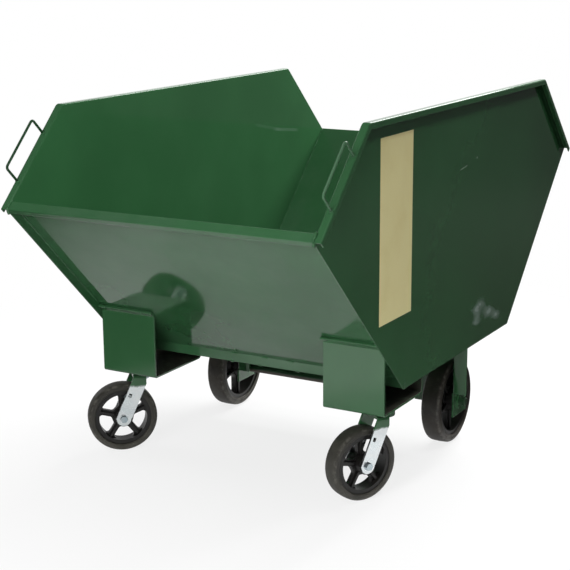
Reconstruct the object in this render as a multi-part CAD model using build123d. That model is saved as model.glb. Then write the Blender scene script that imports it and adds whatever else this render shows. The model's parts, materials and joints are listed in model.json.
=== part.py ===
from build123d import *
import math
import os

# Waste cart: a steel hopper with six-sided ends, on two swivel casters in front and two wheels behind.
# Millimetres. X runs across the cart, Y from front to back, Z up; the floor is Z = 0.

# Hopper outline, seen from the side, as (Y, Z) points on the end panels' edges
foot_z = 304.5
rim_z = 791.5
top_z = 1037.5
rim_front = (-868.5, rim_z)
top_front = (-624.0, top_z)
top_rear = (608.0, top_z)
rim_rear = (868.5, rim_z)
foot_rear = (384.5, foot_z)
foot_front = (-374.0, foot_z)

# Hopper sheet metal
hopper_width = 900.0
sheet = 3.0
corner_round = 18.0
bend = 4.0
inner_bend = 1.0
flange_width = 19.0
flange_lip = 16.0
front_recess = 24.0
rear_recess = 18.5
floor_recess = 24.0
sheet_lip = 19.0

# Handles
handle_rod = 7.0
handle_inset = 8.0
handle_start = 89.0
handle_end = 247.5
handle_height = 61.0
handle_bend = 9.0

# Blank label
label_front_y = -525.0
label_rear_y = -334.0
label_low_z = 510.0
label_high_z = 988.0
label_thickness = 0.5

# Caster brackets
bracket_plate = 6.0
bracket_width = 179.0
bracket_front_y = -483.7
bracket_rear_y = -243.8
bracket_low_z = 257.0
bracket_lip = 20.0
bracket_bend = 8.0
bracket_rear_bend = 16.0

# Rear wheels, their place measured from the hopper's side
rear_radius = 127.0
rear_width = 58.0
rear_wheel_inset = 80.5
rear_tyre_thickness = 24.0
rear_rim_thickness = 11.0
rear_barrel_radius = 31.0
rear_barrel_clearance = 0.6
rear_bearing_outer = 19.5
rear_spoke_angle = -90.0

# Rear axle and its legs, heights measured from the axle
axle_y = 108.6
axle_diameter = 25.4
axle_beyond = 17.1
axle_chamfer = 1.5
leg_plate = 5.0
leg_gap = 38.0
leg_flange = 43.5
leg_depth = 96.0
leg_below_axle = 37.5
outer_flange_above_axle = 36.0
inner_flange_above_axle = 1.0
leg_bend = 8.0
hole_clearance = 0.2
washer_thickness = 2.4
washer_radius = 23.0
pin_diameter = 4.0
pin_length = 36.0
pin_beyond_washer = 9.1

# Front casters, the swivel's place measured from the hopper's side and the bracket's front
swivel_inset = 64.4
swivel_behind_front = 113.9
trail = 70.0
left_turn_angle = -46.9
right_turn_angle = -27.85
front_radius = 101.8
front_width = 50.0
front_tyre_thickness = 19.8
front_rim_thickness = 12.0
front_barrel_radius = 25.0
front_barrel_clearance = 1.0
front_bearing_outer = 15.5
left_spoke_angle = 92.5
right_spoke_angle = 95.5

# Caster forks, bent plate: slanting legs, upright heads, a level crown and a bearing seat on it
fork_plate = 6.0
fork_gap = 62.0
fork_leg_width = 42.5
fork_leg_angle = 24.0
fork_head_front = -1.0
fork_head_width = 38.0
fork_shoulder = 14.0
fork_crown_thickness = 10.0
fork_seat_radius = 36.0
fork_seat_height = 4.0
fork_hole_width = 9.0
fork_hole_height = 11.0
fork_hole_above_axle = 70.2
fork_hole_offset = -11.0

# Caster swivels
top_plate_thickness = 6.0
top_plate_width = 102.0
top_plate_depth = 114.0
top_plate_round = 8.0
race_radius = 36.0
race_thickness = 3.5
bearing_ring_inner = 22.0
bearing_ring_outer = 34.0
bearing_ring_thickness = 8.0
swivel_gap = 0.5
kingpin_diameter = 16.0
kingpin_flats = 24.0
kingpin_nut_height = 11.0
kingpin_beyond = 3.0

# Caster axles
bolt_diameter = 12.7
bolt_flats = 19.0
bolt_head = 8.0
bolt_nut = 11.0
bolt_beyond = 2.0
sleeve_radius = 9.5
running_clearance = 0.05

# Spoked hubs
spoke_count = 5
spoke_width = 17.5
spoke_rib = 7.0
web_thickness = 14.0
window_round = 10.0
rim_margin = 4.0
tyre_shoulder = 10.0
tyre_foot = 2.0

# How far a cut or a joined piece runs past the face it meets
overrun = 1.0

# Places that follow from the sizes above
half_width = hopper_width / 2
inner_x = half_width - sheet
flange_x = half_width + flange_width
floor_top_z = foot_z + floor_recess + sheet
floor_under_z = floor_top_z - sheet
bracket_inner_x = inner_x - bracket_width

rear_wheel_x = half_width - rear_wheel_inset
rear_tyre_inner = rear_radius - rear_tyre_thickness
rear_rim_inner = rear_tyre_inner - rear_rim_thickness
rear_barrel_length = 2 * (leg_gap - washer_thickness - rear_barrel_clearance)
axle_z = rear_radius
leg_low_z = axle_z - leg_below_axle
outer_flange_low_z = axle_z + outer_flange_above_axle
inner_flange_low_z = axle_z + inner_flange_above_axle
end_washer_x = rear_wheel_x + leg_gap + leg_plate
axle_half_length = end_washer_x + washer_thickness + axle_beyond
pin_x = end_washer_x + washer_thickness + pin_beyond_washer

swivel_x = half_width - swivel_inset
swivel_y = bracket_front_y + swivel_behind_front
front_tyre_inner = front_radius - front_tyre_thickness
front_rim_inner = front_tyre_inner - front_rim_thickness
front_barrel_length = fork_gap - 2 * front_barrel_clearance
top_plate_low_z = bracket_low_z - top_plate_thickness
bearing_ring_high_z = top_plate_low_z - race_thickness - swivel_gap
fork_seat_high_z = bearing_ring_high_z - bearing_ring_thickness
fork_crown_high_z = fork_seat_high_z - fork_seat_height
fork_crown_low_z = fork_crown_high_z - fork_crown_thickness
fork_hole_z = front_radius + fork_hole_above_axle

front_rim_edge = (rim_front, top_front)
front_face_edge = (foot_front, rim_front)
rear_rim_edge = (top_rear, rim_rear)
rear_face_edge = (rim_rear, foot_rear)
top_edge = (top_front, top_rear)


def shifted(start, end, distance):
    """The line from start to end, moved to its right by a distance."""
    run = end[0] - start[0]
    rise = end[1] - start[1]
    length = math.hypot(run, rise)
    step_y = rise / length * distance
    step_z = -run / length * distance
    return (start[0] + step_y, start[1] + step_z), (end[0] + step_y, end[1] + step_z)


def crossing(first, second):
    """The point where two lines meet."""
    (start_y, start_z), (end_y, end_z) = first
    (other_y, other_z), (far_y, far_z) = second
    run = end_y - start_y
    rise = end_z - start_z
    other_run = far_y - other_y
    other_rise = far_z - other_z
    share = (other_y - start_y) * other_rise - (other_z - start_z) * other_run
    share = share / (run * other_rise - rise * other_run)
    return start_y + share * run, start_z + share * rise


def level(height):
    """A level line at a height."""
    return (0.0, height), (1.0, height)


def upright(place_y):
    """An upright line at a place along the cart."""
    return (place_y, 0.0), (place_y, 1.0)


def rounded(shape, corners, radius):
    """A flat shape with some of its corners rounded."""
    for corner in corners:
        nearest = shape.vertices().sort_by_distance((corner[0], corner[1], 0))[0]
        shape = fillet(nearest, radius)
    return shape


def slab(shape, low_x, high_x):
    """A flat Y-Z shape made solid from one X to another."""
    return extrude(Plane.YZ.offset(low_x) * shape, amount=high_x - low_x, dir=(1, 0, 0))


def block(low, high):
    """A box between two opposite corners."""
    size = [high[axis] - low[axis] for axis in range(3)]
    middle = [(high[axis] + low[axis]) / 2 for axis in range(3)]
    return Pos(*middle) * Box(*size)


def rod_x(radius, low_x, high_x):
    """A round rod along the X axis."""
    return extrude(Plane.YZ.offset(low_x) * Circle(radius), amount=high_x - low_x, dir=(1, 0, 0))


def rod_z(radius, low_z, high_z):
    """A round rod along the Z axis."""
    return extrude(Plane.XY.offset(low_z) * Circle(radius), amount=high_z - low_z, dir=(0, 0, 1))


def hexagon(flats):
    """A six-sided flat shape, given its size across flats."""
    return RegularPolygon(radius=flats / 2, side_count=6, major_radius=False)


def mirrored(shape):
    """The same shape on the other side of the cart."""
    return mirror(shape, about=Plane.YZ)


# End panels

def rim_strip(depth):
    """Flat strip of this depth along the three upper edges of an end panel."""
    front_line = shifted(*front_rim_edge, depth)
    top_line = shifted(*top_edge, depth)
    rear_line = shifted(*rear_rim_edge, depth)
    inner_front = crossing(front_line, top_line)
    inner_rear = crossing(top_line, rear_line)
    front_end = crossing(front_line, front_face_edge)
    rear_end = crossing(rear_line, rear_face_edge)
    outer_points = [rim_front, top_front, top_rear, rim_rear]
    inner_points = [rear_end, inner_rear, inner_front, front_end]
    strip = Polygon(*outer_points, *inner_points, align=None)
    strip = rounded(strip, [top_front, top_rear], corner_round)
    return rounded(strip, [inner_front, inner_rear], max(corner_round - depth, inner_bend))


def depth_from_rim(point):
    """How far inside the nearest upper edge of the end panel a point lies."""
    depths = []
    for start, end in (front_rim_edge, top_edge, rear_rim_edge):
        run = end[0] - start[0]
        rise = end[1] - start[1]
        across = (point.Y - start[0]) * rise - (point.Z - start[1]) * run
        depths.append(across / math.hypot(run, rise))
    return min(depths)


def rim_bends(panel):
    """The long edges of an end panel's rim where the sheet is bent."""
    bends = []
    for edge in panel.edges():
        middle = edge @ 0.5
        start = edge @ 0
        at_face = abs(middle.X - inner_x) < 0.01 or abs(middle.X - flange_x) < 0.01
        along_rim = abs(start.X - middle.X) < 0.01 and depth_from_rim(middle) < sheet
        if at_face and along_rim and middle.Z > rim_z + overrun:
            bends.append(edge)
    return bends


def end_panel():
    """The right end panel with its rim turned outwards and down."""
    outline = Polygon(rim_front, top_front, top_rear, rim_rear, foot_rear, foot_front, align=None)
    outline = rounded(outline, [top_front, top_rear], corner_round)
    panel = slab(outline, inner_x, half_width)
    panel += slab(rim_strip(sheet), inner_x, flange_x)
    panel += slab(rim_strip(flange_lip), flange_x - sheet, flange_x)
    return fillet(rim_bends(panel), bend)


# Front, rear and floor sheets

def floor_edge(face_edge, recess):
    """The point where the inside of a sloping sheet meets the top of the floor."""
    return crossing(shifted(*face_edge, recess + sheet), level(floor_top_z))


def rim_sheet(rim_edge, face_edge, recess, outwards):
    """A sloping sheet, its top turned out to the rim and down, its foot turned upright below the floor."""
    def at(below_rim, behind_face):
        return crossing(shifted(*rim_edge, below_rim), shifted(*face_edge, behind_face))

    outer_corner = at(0, 0)
    inner_corner = at(0, recess + sheet)
    inner_bend_point = floor_edge(face_edge, recess)
    inner_y = inner_bend_point[0]
    outer_y = inner_y + outwards * sheet
    outer_line = ((outer_y, foot_z), (outer_y, floor_top_z))
    outer_bend_point = crossing(shifted(*face_edge, recess), outer_line)
    inner_foot = (inner_y, foot_z)
    outer_foot = (outer_y, foot_z)
    under_rim = at(sheet, recess)
    under_corner = at(sheet, sheet)
    lip_inner = at(sheet_lip, sheet)
    lip_outer = at(sheet_lip, 0)
    section = Polygon(
        outer_corner, inner_corner, inner_bend_point, inner_foot, outer_foot, outer_bend_point,
        under_rim, under_corner, lip_inner, lip_outer, align=None,
    )
    section = rounded(section, [outer_corner, inner_corner], bend)
    section = rounded(section, [under_rim, under_corner, outer_bend_point], inner_bend)
    return slab(section, -inner_x, inner_x)


def floor_sheet():
    """The flat hopper floor between the end panels and the upright feet of the sloping sheets."""
    front_y = floor_edge(front_face_edge, front_recess)[0]
    rear_y = floor_edge(rear_face_edge, rear_recess)[0]
    return block((-inner_x, front_y, floor_under_z), (inner_x, rear_y, floor_top_z))


# Handles and label

def handle():
    """The right lifting handle, a bent rod standing on the sloping front flange."""
    run = top_front[0] - rim_front[0]
    rise = top_front[1] - rim_front[1]
    foot_place = (flange_x - handle_inset, *rim_front)
    rim_plane = Plane(origin=foot_place, x_dir=(0, run, rise), z_dir=(1, 0, 0))
    grip_height = handle_height - handle_rod / 2
    path = rim_plane * FilletPolyline(
        (handle_start, 0), (handle_start, grip_height),
        (handle_end, grip_height), (handle_end, 0), radius=handle_bend,
    )
    rod_end = Plane(origin=path @ 0, z_dir=path % 0) * Circle(handle_rod / 2)
    return sweep(rod_end, path=path)


def label():
    """A plain label with nothing on it."""
    low = (half_width, label_front_y, label_low_z)
    high = (half_width + label_thickness, label_rear_y, label_high_z)
    return block(low, high)


# Caster brackets

def caster_bracket():
    """The right bracket: a lip on the front sheet, then a plate bent down, back and up to the floor."""
    face_line = shifted(*front_face_edge, front_recess)
    lip_line = shifted(*front_face_edge, front_recess - bracket_plate)
    inner_front_y = bracket_front_y + bracket_plate
    inner_rear_y = bracket_rear_y - bracket_plate
    inner_low_z = bracket_low_z + bracket_plate
    front_top = crossing(lip_line, upright(bracket_front_y))
    inner_top = crossing(face_line, upright(inner_front_y))
    lip_run = rim_front[0] - foot_front[0]
    lip_rise = rim_front[1] - foot_front[1]
    lip_share = bracket_lip / math.hypot(lip_run, lip_rise)
    lip_outer = (front_top[0] + lip_share * lip_run, front_top[1] + lip_share * lip_rise)
    lip_inner = shifted(lip_outer, rim_front, bracket_plate)[0]
    front_low = (bracket_front_y, bracket_low_z)
    rear_low = (bracket_rear_y, bracket_low_z)
    inner_rear_low = (inner_rear_y, inner_low_z)
    inner_front_low = (inner_front_y, inner_low_z)
    section = Polygon(
        lip_inner, lip_outer, front_top, front_low, rear_low, (bracket_rear_y, floor_under_z),
        (inner_rear_y, floor_under_z), inner_rear_low, inner_front_low, inner_top, align=None,
    )
    section = rounded(section, [inner_top, front_low], bracket_bend)
    section = rounded(section, [front_top, inner_front_low], bracket_bend - bracket_plate)
    section = rounded(section, [rear_low], bracket_rear_bend)
    section = rounded(section, [inner_rear_low], bracket_rear_bend - bracket_plate)
    return slab(section, bracket_inner_x, inner_x)


# Rear axle, legs, washers and pins

def axle_leg(face_x, side, flange_low_z):
    """An angle leg: its web faces the wheel, its front flange turns away to the side given."""
    front_y = axle_y - leg_depth / 2
    rear_y = axle_y + leg_depth / 2
    back_x = face_x + side * leg_plate
    edge_x = face_x + side * leg_flange
    corner = (face_x, front_y)
    inner_corner = (back_x, front_y + leg_plate)
    plan = Polygon(
        corner, (edge_x, front_y), (edge_x, front_y + leg_plate),
        inner_corner, (back_x, rear_y), (face_x, rear_y), align=None,
    )
    plan = rounded(plan, [corner], leg_bend)
    plan = rounded(plan, [inner_corner], leg_bend - leg_plate)
    leg = extrude(Plane.XY.offset(flange_low_z) * plan, amount=floor_under_z - flange_low_z, dir=(0, 0, 1))
    low_x, high_x = sorted((face_x, back_x))
    leg += block((low_x, front_y, leg_low_z), (high_x, rear_y, flange_low_z))
    if edge_x > inner_x:
        notch_low = (inner_x, front_y - overrun, foot_z)
        notch_high = (edge_x + overrun, rear_y + overrun, floor_under_z + overrun)
        leg -= block(notch_low, notch_high)
    bore = rod_x(axle_diameter / 2 + hole_clearance, face_x - leg_flange, face_x + leg_flange)
    return leg - Pos(0, axle_y, axle_z) * bore


def axle():
    """The rear axle, drilled near each end for a cotter pin."""
    shaft = rod_x(axle_diameter / 2, -axle_half_length, axle_half_length)
    shaft = chamfer(shaft.edges().filter_by(GeomType.CIRCLE), axle_chamfer)
    for side in (-1, 1):
        hole = rod_z(pin_diameter / 2 + hole_clearance, -axle_diameter, axle_diameter)
        shaft -= Pos(side * pin_x, 0, 0) * hole
    return Pos(0, axle_y, axle_z) * shaft


def axle_washer(low_x):
    """One flat washer on the rear axle."""
    high_x = low_x + washer_thickness
    ring = rod_x(washer_radius, low_x, high_x)
    ring -= rod_x(axle_diameter / 2 + hole_clearance, low_x - overrun, high_x + overrun)
    return Pos(0, axle_y, axle_z) * ring


def hub_washers():
    """Washers between the rear hubs and the legs, against the legs."""
    washers = []
    for low_x in (rear_wheel_x - leg_gap, rear_wheel_x + leg_gap - washer_thickness):
        washers.append(axle_washer(low_x))
        washers.append(mirrored(axle_washer(low_x)))
    return Compound(washers)


def end_washers():
    """Washers outside the outer legs."""
    outer = axle_washer(end_washer_x)
    return Compound([outer, mirrored(outer)])


def cotter_pins():
    """Pins through the axle ends, each with a round head on top."""
    pin = rod_z(pin_diameter / 2, -pin_length / 2, pin_length / 2)
    pin += Pos(0, 0, pin_length / 2) * Sphere(pin_diameter)
    pin = Pos(pin_x, axle_y, axle_z) * pin
    return Compound([pin, mirrored(pin)])


# Wheels, each built around the X axis at the origin

def tyre(radius, width, inner_radius):
    """A solid rubber tyre with rounded shoulders."""
    half = width / 2
    section = Polygon((-half, inner_radius), (half, inner_radius), (half, radius), (-half, radius), align=None)
    section = rounded(section, [(half, radius), (-half, radius)], tyre_shoulder)
    section = rounded(section, [(half, inner_radius), (-half, inner_radius)], tyre_foot)
    return revolve(section, axis=Axis.X)


def hub(rim_radius, rim_width, rim_inner, barrel_radius, barrel_length, bore_radius, spoke_angle):
    """A spoked wheel centre: barrel, web with rounded windows, ribs and rim."""
    rim_overlap = rim_inner + overrun
    spoke = Pos(rim_overlap / 2, 0) * Rectangle(rim_overlap, spoke_width)
    spokes = [Rot(0, 0, number * 360 / spoke_count) * spoke for number in range(spoke_count)]
    windows = Circle(rim_inner) - Circle(barrel_radius + spoke_rib) - spokes
    windows = fillet(windows.vertices(), window_round)
    plate = Circle(rim_overlap) - windows
    centre = slab(plate, -web_thickness / 2, web_thickness / 2)
    rim = rod_x(rim_radius, -rim_width / 2, rim_width / 2)
    rim -= rod_x(rim_inner, -rim_width, rim_width)
    centre += rim
    for number in range(spoke_count):
        rib = block((-web_thickness, 0, -spoke_rib / 2), (web_thickness, rim_overlap, spoke_rib / 2))
        centre += Rot(number * 360 / spoke_count, 0, 0) * rib
    centre += rod_x(barrel_radius, -barrel_length / 2, barrel_length / 2)
    centre -= rod_x(bore_radius, -barrel_length, barrel_length)
    return Rot(spoke_angle, 0, 0) * centre


def wheel_bearing(outer_radius, inner_radius, length):
    """The bearing pressed into a hub."""
    ring = rod_x(outer_radius, -length / 2, length / 2)
    return ring - rod_x(inner_radius, -length, length)


# Casters, each built with its swivel on the Z axis and its wheel trailing towards -Y

def fork():
    """The caster fork: slanting legs, upright heads, and a crown with the seat of the swivel bearing."""
    slope = math.tan(math.radians(fork_leg_angle))
    half_leg = fork_leg_width / 2 / math.cos(math.radians(fork_leg_angle))
    front_low = (half_leg - trail, front_radius)
    rear_low = (-half_leg - trail, front_radius)
    head_rear = fork_head_front - fork_head_width
    front_bend = (fork_head_front, front_radius + (fork_head_front - front_low[0]) / slope)
    rear_bend = (head_rear, front_radius + (head_rear - rear_low[0]) / slope)
    axle_point = (-trail, front_radius)
    bar = Polygon(
        rear_low, front_low, front_bend, (fork_head_front, fork_crown_high_z),
        (head_rear, fork_crown_high_z), rear_bend, align=None,
    )
    bar += Pos(*axle_point) * Circle(fork_leg_width / 2)
    hole_middle = slope * (fork_hole_z - front_radius) - trail + fork_hole_offset
    hole = Rectangle(fork_hole_width, fork_hole_height, rotation=-fork_leg_angle)
    bar -= Pos(hole_middle, fork_hole_z) * hole
    bar -= Pos(*axle_point) * Circle(bolt_diameter / 2 + hole_clearance)
    half_gap = fork_gap / 2
    outer = half_gap + fork_plate
    shape = slab(bar, half_gap, outer) + slab(bar, -outer, -half_gap)
    bridge_low = (-outer, head_rear, fork_crown_low_z)
    bridge_high = (outer, fork_head_front, fork_crown_high_z)
    shape += block(bridge_low, bridge_high)
    top_edges = shape.edges().filter_by(Axis.Y).group_by(Axis.Z)[-1]
    shape = fillet(top_edges, fork_shoulder)
    shape += rod_z(fork_seat_radius, fork_crown_low_z, fork_seat_high_z)
    return shape - rod_z(kingpin_diameter / 2 + running_clearance, 0, bracket_low_z)


def axle_bolt():
    """The bolt through fork and wheel, head on the right."""
    outer = fork_gap / 2 + fork_plate
    bolt = rod_x(bolt_diameter / 2, -outer - bolt_nut - bolt_beyond, outer)
    bolt += extrude(Plane.YZ.offset(outer) * hexagon(bolt_flats), amount=bolt_head, dir=(1, 0, 0))
    return Pos(0, -trail, front_radius) * bolt


def axle_nut():
    """The nut on the axle bolt."""
    outer = fork_gap / 2 + fork_plate
    nut = extrude(Plane.YZ.offset(-outer - bolt_nut) * hexagon(bolt_flats), amount=bolt_nut, dir=(1, 0, 0))
    nut -= rod_x(bolt_diameter / 2, -outer - bolt_nut - overrun, -outer + overrun)
    return Pos(0, -trail, front_radius) * nut


def axle_sleeve():
    """The tube that the bolt clamps between the fork legs and the wheel turns on."""
    sleeve = rod_x(sleeve_radius, -fork_gap / 2, fork_gap / 2)
    sleeve -= rod_x(bolt_diameter / 2, -fork_gap, fork_gap)
    return Pos(0, -trail, front_radius) * sleeve


def swivel_bearing():
    """The ball bearing ring on the fork's seat."""
    ring = rod_z(bearing_ring_outer, fork_seat_high_z, bearing_ring_high_z)
    return ring - rod_z(bearing_ring_inner, fork_seat_high_z - overrun, bearing_ring_high_z + overrun)


def top_plate():
    """The caster's top plate with the upper bearing race under it."""
    outline = RectangleRounded(top_plate_width, top_plate_depth, top_plate_round)
    plate = extrude(Plane.XY.offset(top_plate_low_z) * outline, amount=top_plate_thickness, dir=(0, 0, 1))
    plate += rod_z(race_radius, top_plate_low_z - race_thickness, top_plate_low_z)
    return plate - rod_z(kingpin_diameter / 2, 0, bracket_low_z + overrun)


def kingpin():
    """The pin that the fork swivels on, fixed in the top plate."""
    low_z = fork_crown_low_z - swivel_gap - kingpin_nut_height - kingpin_beyond
    return rod_z(kingpin_diameter / 2, low_z, bracket_low_z)


def kingpin_nut():
    """The nut under the fork crown that holds it up."""
    high_z = fork_crown_low_z - swivel_gap
    low_z = high_z - kingpin_nut_height
    nut = extrude(Plane.XY.offset(low_z) * hexagon(kingpin_flats), amount=kingpin_nut_height, dir=(0, 0, 1))
    return nut - rod_z(kingpin_diameter / 2, low_z - overrun, high_z + overrun)


pieces = {}

right_panel = end_panel()
pieces["end_panel_right"] = right_panel
pieces["end_panel_left"] = mirrored(right_panel)
pieces["front_sheet"] = rim_sheet(front_rim_edge, front_face_edge, front_recess, -1)
pieces["rear_sheet"] = rim_sheet(rear_rim_edge, rear_face_edge, rear_recess, 1)
pieces["floor_sheet"] = floor_sheet()

right_handle = handle()
pieces["handle_right"] = right_handle
pieces["handle_left"] = mirrored(right_handle)
pieces["label_blank"] = label()

right_bracket = caster_bracket()
pieces["caster_bracket_right"] = right_bracket
pieces["caster_bracket_left"] = mirrored(right_bracket)

outer_leg = axle_leg(rear_wheel_x + leg_gap, 1, outer_flange_low_z)
inner_leg = axle_leg(rear_wheel_x - leg_gap, -1, inner_flange_low_z)
pieces["axle_leg_outer_right"] = outer_leg
pieces["axle_leg_outer_left"] = mirrored(outer_leg)
pieces["axle_leg_inner_right"] = inner_leg
pieces["axle_leg_inner_left"] = mirrored(inner_leg)

pieces["rear_axle"] = axle()
pieces["axle_hub_washers"] = hub_washers()
pieces["axle_end_washers"] = end_washers()
pieces["axle_cotter_pins"] = cotter_pins()

for name, side in (("left", -1), ("right", 1)):
    wheel_place = Pos(side * rear_wheel_x, axle_y, axle_z)
    rubber = tyre(rear_radius, rear_width, rear_tyre_inner)
    centre = hub(
        rear_tyre_inner, rear_width - 2 * rim_margin, rear_rim_inner,
        rear_barrel_radius, rear_barrel_length, rear_bearing_outer, rear_spoke_angle,
    )
    bearing_bore = axle_diameter / 2 + running_clearance
    bearing = wheel_bearing(rear_bearing_outer, bearing_bore, rear_barrel_length)
    pieces[f"rear_tyre_{name}"] = wheel_place * rubber
    pieces[f"rear_hub_{name}"] = wheel_place * centre
    pieces[f"rear_bearing_{name}"] = wheel_place * bearing

left_caster = ("left", -1, left_turn_angle, left_spoke_angle)
right_caster = ("right", 1, right_turn_angle, right_spoke_angle)
for name, side, turn_angle, spoke_angle in (left_caster, right_caster):
    plate_place = Pos(side * swivel_x, swivel_y, 0)
    caster_place = plate_place * Rot(0, 0, turn_angle)
    wheel_place = caster_place * Pos(0, -trail, front_radius)
    pieces[f"caster_top_plate_{name}"] = plate_place * top_plate()
    pieces[f"caster_kingpin_{name}"] = plate_place * kingpin()
    pieces[f"caster_kingpin_nut_{name}"] = plate_place * kingpin_nut()
    pieces[f"caster_swivel_bearing_{name}"] = caster_place * swivel_bearing()
    pieces[f"caster_fork_{name}"] = caster_place * fork()
    pieces[f"caster_axle_bolt_{name}"] = caster_place * axle_bolt()
    pieces[f"caster_axle_nut_{name}"] = caster_place * axle_nut()
    pieces[f"caster_axle_sleeve_{name}"] = caster_place * axle_sleeve()
    rubber = tyre(front_radius, front_width, front_tyre_inner)
    centre = hub(
        front_tyre_inner, front_width - 2 * rim_margin, front_rim_inner,
        front_barrel_radius, front_barrel_length, front_bearing_outer, spoke_angle,
    )
    bearing = wheel_bearing(front_bearing_outer, sleeve_radius + running_clearance, front_barrel_length)
    pieces[f"caster_tyre_{name}"] = wheel_place * rubber
    pieces[f"caster_hub_{name}"] = wheel_place * centre
    pieces[f"caster_bearing_{name}"] = wheel_place * bearing

os.makedirs("parts", exist_ok=True)
for name, shape in pieces.items():
    export_step(shape, f"parts/{name}.step")
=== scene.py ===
import json
import math
import random

import bmesh
import bpy
from mathutils import Matrix, Vector


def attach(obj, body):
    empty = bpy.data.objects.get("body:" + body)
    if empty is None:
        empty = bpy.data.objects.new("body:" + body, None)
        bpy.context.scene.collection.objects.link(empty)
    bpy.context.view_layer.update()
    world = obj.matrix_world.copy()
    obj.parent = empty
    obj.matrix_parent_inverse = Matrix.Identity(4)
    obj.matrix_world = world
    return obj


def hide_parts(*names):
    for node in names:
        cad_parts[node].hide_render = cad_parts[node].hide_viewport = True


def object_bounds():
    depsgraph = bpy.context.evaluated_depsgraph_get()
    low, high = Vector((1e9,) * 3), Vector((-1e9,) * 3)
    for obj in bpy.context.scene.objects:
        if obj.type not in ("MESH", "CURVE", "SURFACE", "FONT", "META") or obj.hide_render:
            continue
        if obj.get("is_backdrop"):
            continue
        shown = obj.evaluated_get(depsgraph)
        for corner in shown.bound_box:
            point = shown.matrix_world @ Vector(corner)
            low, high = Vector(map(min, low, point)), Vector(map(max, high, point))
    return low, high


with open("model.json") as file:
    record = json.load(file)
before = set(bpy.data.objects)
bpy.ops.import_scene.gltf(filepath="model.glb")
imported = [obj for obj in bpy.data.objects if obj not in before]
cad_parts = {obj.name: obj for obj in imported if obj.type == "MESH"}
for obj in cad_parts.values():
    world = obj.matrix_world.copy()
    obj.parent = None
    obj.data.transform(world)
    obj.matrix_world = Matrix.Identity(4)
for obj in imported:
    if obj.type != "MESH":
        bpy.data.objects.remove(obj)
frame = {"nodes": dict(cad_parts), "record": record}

cad_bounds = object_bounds()
nodes = frame["nodes"]

# End panels: two six-sided sheets of 3 mm steel, their upper edges turned outwards and down as a rim.
# They are sprayed with a glossy dark green enamel, which runs thin and pale on the cut edges. The right
# one is scratched outside and has pale patches low on it, and the left one has a soft pale streak
# inside; both the patches and the streak are painted reflections.


def add_node(tree, kind, settings=None, inputs=None):
    """Adds a shader node; sockets get a plain value or a link."""
    made = tree.nodes.new(kind)
    for name, value in (settings or {}).items():
        setattr(made, name, value)
    for name, value in (inputs or {}).items():
        if isinstance(value, bpy.types.NodeSocket):
            tree.links.new(value, made.inputs[name])
        else:
            made.inputs[name].default_value = value
    return made


def maths(tree, operation, first, second=0.0, clamp=False):
    """A Math node's result."""
    settings = {"operation": operation, "use_clamp": clamp}
    return add_node(tree, "ShaderNodeMath", settings, {0: first, 1: second}).outputs[0]


def product(tree, *factors):
    """Values multiplied with one another."""
    result = factors[0]
    for factor in factors[1:]:
        result = maths(tree, "MULTIPLY", result, factor)
    return result


def vector_maths(tree, operation, first, second=(0.0, 0.0, 0.0)):
    """A Vector Math node's result: a number for a length or a dot product, or else a vector."""
    made = add_node(tree, "ShaderNodeVectorMath", {"operation": operation}, {0: first, 1: second})
    return made.outputs["Value" if operation in ("DOT_PRODUCT", "DISTANCE", "LENGTH") else "Vector"]


def ranged(tree, value, low, high, to_low=0.0, to_high=1.0):
    """A value moved smoothly from one range to another."""
    settings = {"interpolation_type": "SMOOTHSTEP"}
    inputs = {"Value": value, "From Min": low, "From Max": high, "To Min": to_low, "To Max": to_high}
    return add_node(tree, "ShaderNodeMapRange", settings, inputs).outputs["Result"]


def mixed_colour(tree, factor, first, second):
    """Two colours mixed by a factor."""
    made = add_node(tree, "ShaderNodeMix", {"data_type": "RGBA"}, {0: factor, 6: first, 7: second})
    return made.outputs[2]


def noise(tree, place, scale, detail, roughness=0.5):
    """A noise pattern's value at a place."""
    inputs = {"Vector": place, "Scale": scale, "Detail": detail, "Roughness": roughness}
    return add_node(tree, "ShaderNodeTexNoise", {}, inputs).outputs[0]


def object_place(tree):
    """Coordinates fixed to the piece, in metres."""
    return add_node(tree, "ShaderNodeTexCoord").outputs["Object"]


def along_axis(tree, place, axis):
    """One coordinate of a place."""
    return add_node(tree, "ShaderNodeSeparateXYZ", {}, {0: place}).outputs[axis]


def rounded_normal(tree, radius):
    """The surface's normal with sharp edges rounded to a radius."""
    return add_node(tree, "ShaderNodeBevel", {"samples": 6}, {"Radius": radius}).outputs["Normal"]


def new_group(name, inputs, result_name):
    """An empty shader node group; returns it with its inputs and the socket for its result."""
    group = bpy.data.node_groups.new(name, "ShaderNodeTree")
    for socket_name, value in inputs.items():
        socket = group.interface.new_socket(socket_name, in_out="INPUT", socket_type="NodeSocketFloat")
        socket.default_value = value
    group.interface.new_socket(result_name, in_out="OUTPUT", socket_type="NodeSocketFloat")
    entry = group.nodes.new("NodeGroupInput")
    result = group.nodes.new("NodeGroupOutput")
    return group, entry.outputs, result.inputs[result_name]


def make_edge_wear():
    """Mask of edges and corners, broken up so that it reads as thin or rubbed paint."""
    inputs = {"Radius": 0.002, "Breakup": 40.0, "Amount": 1.0}
    group, given, result = new_group("Edge wear", inputs, "Wear")
    flat_normal = add_node(group, "ShaderNodeNewGeometry").outputs["Normal"]
    likeness = vector_maths(group, "DOT_PRODUCT", rounded_normal(group, given["Radius"]), flat_normal)
    edge = ranged(group, likeness, 0.985, 0.80)
    breakup = noise(group, object_place(group), given["Breakup"], detail=4.0)
    worn = product(group, edge, ranged(group, breakup, 0.30, 0.62))
    group.links.new(maths(group, "MULTIPLY", worn, given["Amount"], clamp=True), result)
    return group


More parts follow.
